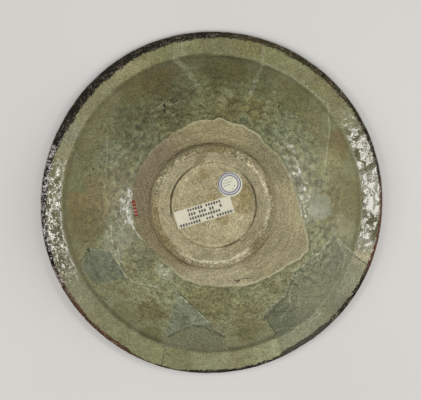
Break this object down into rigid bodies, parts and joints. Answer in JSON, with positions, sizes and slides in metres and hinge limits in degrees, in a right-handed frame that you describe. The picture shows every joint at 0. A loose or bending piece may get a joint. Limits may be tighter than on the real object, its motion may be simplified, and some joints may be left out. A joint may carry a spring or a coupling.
{
  "type": "lustreware bowl",
  "caption": "Shallow glazed stonepaste bowl with a sloping ledge rim and a low foot ring, resting upside down on its rim.",
  "frame": {"origin": "on the bowl's axis, in the plane of the lip that the bowl rests on while it lies upside down", "axes": "+Z along the bowl's axis, out through the foot ring; +X towards the right and +Y towards the top of the picture"},
  "size_m": [0.275, 0.275, 0.0672],
  "materials": {
    "glazed_stonepaste": "uneven olive green glaze, crackled and glossy, over a pale sandy body that is bare and worn on the foot",
    "slip_paper": "cream paper slip with rows of dark dashes",
    "sticker_paper": "white gummed paper with a printed blue double ring"
  },
  "bodies": {
    "root": {"bowl": "glazed_stonepaste", "paper_slip": "slip_paper", "round_sticker": "sticker_paper"}
  },
  "joints": []
}
